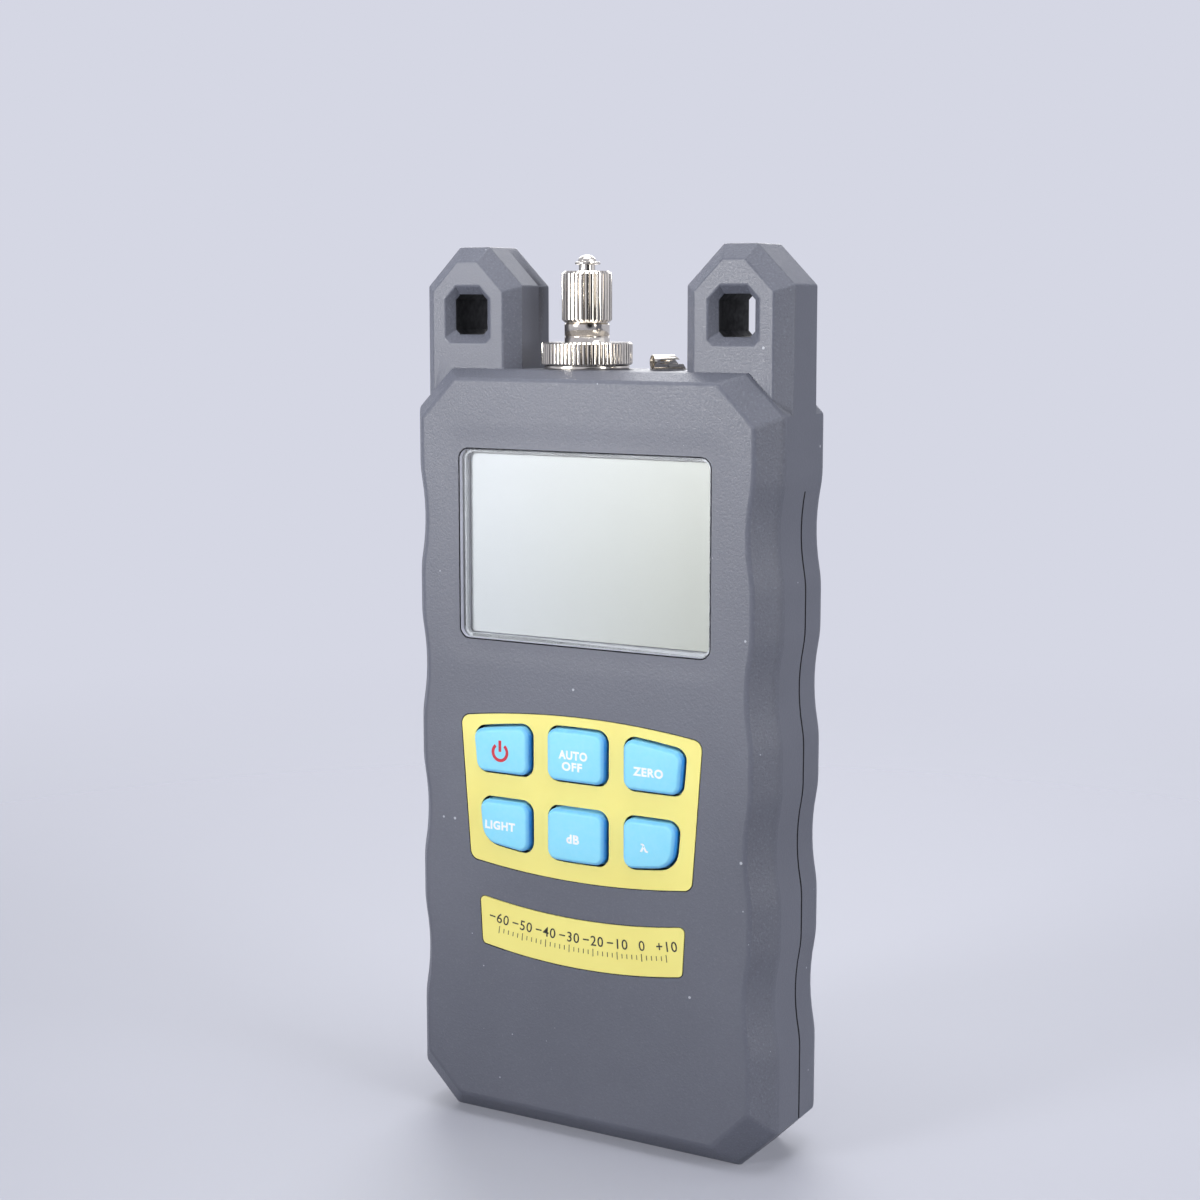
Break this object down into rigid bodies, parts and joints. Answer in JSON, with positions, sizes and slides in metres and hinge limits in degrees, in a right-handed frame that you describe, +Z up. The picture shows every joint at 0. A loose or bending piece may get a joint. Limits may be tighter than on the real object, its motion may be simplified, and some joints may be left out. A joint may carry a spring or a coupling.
{
  "type": "optical power meter",
  "caption": "Handheld optical power meter with a display window, soft keys, wavy grip sides, strap horns and a capped fibre port on top.",
  "frame": {"origin": "middle of the case's base, on the surface it stands on", "axes": "+Z up to the horns and the port, -Y out of the display side, +X to the right as seen from the front"},
  "size_m": [0.0806, 0.0281, 0.175],
  "materials": {
    "case_plastic": "spark-textured blue-grey moulding",
    "window_clear": "clear acrylic pane",
    "tape_white": "white adhesive foam",
    "holder_white": "plain moulding",
    "lcd_face": "pale grey-green polariser",
    "light_guide": "diffusing sheet",
    "silicone_grey": "matte silicone",
    "board_green": "solder mask",
    "chip_black": "moulded epoxy",
    "tin_steel": "tin plated",
    "label_yellow": "satin printed film",
    "key_blue": "soft satin",
    "screw_steel": "zinc plated",
    "nickel_plate": "polished nickel",
    "cell_sleeve": "plain printed sleeve"
  },
  "bodies": {
    "housing": {"front_shell": "case_plastic", "rear_shell": "case_plastic", "display_window": "window_clear", "window_tape": "tape_white", "lcd_holder": "holder_white", "lcd_glass": "lcd_face", "lcd_connector": "silicone_grey", "backlight_panel": "light_guide", "circuit_board": "board_green", "processor_chip": "chip_black", "amplifier_shield": "tin_steel", "keypad_mat": "silicone_grey", "keypad_overlay": "label_yellow", "name_plate": "label_yellow", "case_screws": "screw_steel", "board_screws": "screw_steel", "port_bushing": "nickel_plate", "bushing_nut": "nickel_plate", "photodiode": "tin_steel", "fibre_adapter": "nickel_plate", "clip_pin": "nickel_plate", "contact_negative": "tin_steel", "contact_positive": "tin_steel", "contact_bridge_high": "tin_steel", "contact_bridge_low": "tin_steel", "battery_cell_1": "cell_sleeve", "battery_cell_2": "cell_sleeve", "battery_cell_3": "cell_sleeve"},
    "power_key_cap": {"power_key": "key_blue"},
    "auto_off_key_cap": {"auto_off_key": "key_blue"},
    "zero_key_cap": {"zero_key": "key_blue"},
    "light_key_cap": {"light_key": "key_blue"},
    "decibel_key_cap": {"decibel_key": "key_blue"},
    "wavelength_key_cap": {"wavelength_key": "key_blue"},
    "battery_cover": {"battery_door": "case_plastic"},
    "port_ring": {"adapter_ring": "nickel_plate"},
    "port_cap": {"dust_cap": "nickel_plate", "cap_rivet": "nickel_plate"},
    "cap_swivel": {"swivel_ring": "nickel_plate"},
    "tether": {"tether_clip": "nickel_plate"}
  },
  "joints": [
    {"name": "power_key_press", "type": "slide", "parent": "housing", "child": "power_key_cap", "axis": [0, 1, 0], "range_m": [0, 0.0012], "stiffness_N_per_m": 1500, "springref_m": -0.0003},
    {"name": "auto_off_key_press", "type": "slide", "parent": "housing", "child": "auto_off_key_cap", "axis": [0, 1, 0], "range_m": [0, 0.0012], "stiffness_N_per_m": 1500, "springref_m": -0.0003},
    {"name": "zero_key_press", "type": "slide", "parent": "housing", "child": "zero_key_cap", "axis": [0, 1, 0], "range_m": [0, 0.0012], "stiffness_N_per_m": 1500, "springref_m": -0.0003},
    {"name": "light_key_press", "type": "slide", "parent": "housing", "child": "light_key_cap", "axis": [0, 1, 0], "range_m": [0, 0.0012], "stiffness_N_per_m": 1500, "springref_m": -0.0003},
    {"name": "decibel_key_press", "type": "slide", "parent": "housing", "child": "decibel_key_cap", "axis": [0, 1, 0], "range_m": [0, 0.0012], "stiffness_N_per_m": 1500, "springref_m": -0.0003},
    {"name": "wavelength_key_press", "type": "slide", "parent": "housing", "child": "wavelength_key_cap", "axis": [0, 1, 0], "range_m": [0, 0.0012], "stiffness_N_per_m": 1500, "springref_m": -0.0003},
    {"name": "battery_door_hinge", "type": "hinge", "parent": "housing", "child": "battery_cover", "pos_m": [0, 0.0124, 0.07205], "axis": [1, 0, 0], "range_deg": [0, 95]},
    {"name": "adapter_ring_turn", "type": "hinge", "parent": "housing", "child": "port_ring", "pos_m": [-0.00647, 0, 0.1544], "axis": [0, 0, 1], "continuous": true},
    {"name": "dust_cap_lift", "type": "slide", "parent": "housing", "child": "port_cap", "axis": [0, 0, 1], "range_m": [0, 0.016]},
    {"name": "swivel_ring_turn", "type": "hinge", "parent": "port_cap", "child": "cap_swivel", "pos_m": [-0.00647, 0, 0.17175], "axis": [0, 0, 1], "continuous": true},
    {"name": "tether_clip_turn", "type": "hinge", "parent": "housing", "child": "tether", "pos_m": [0.0115, 0, 0.1516], "axis": [0, 0, 1], "continuous": true}
  ]
}
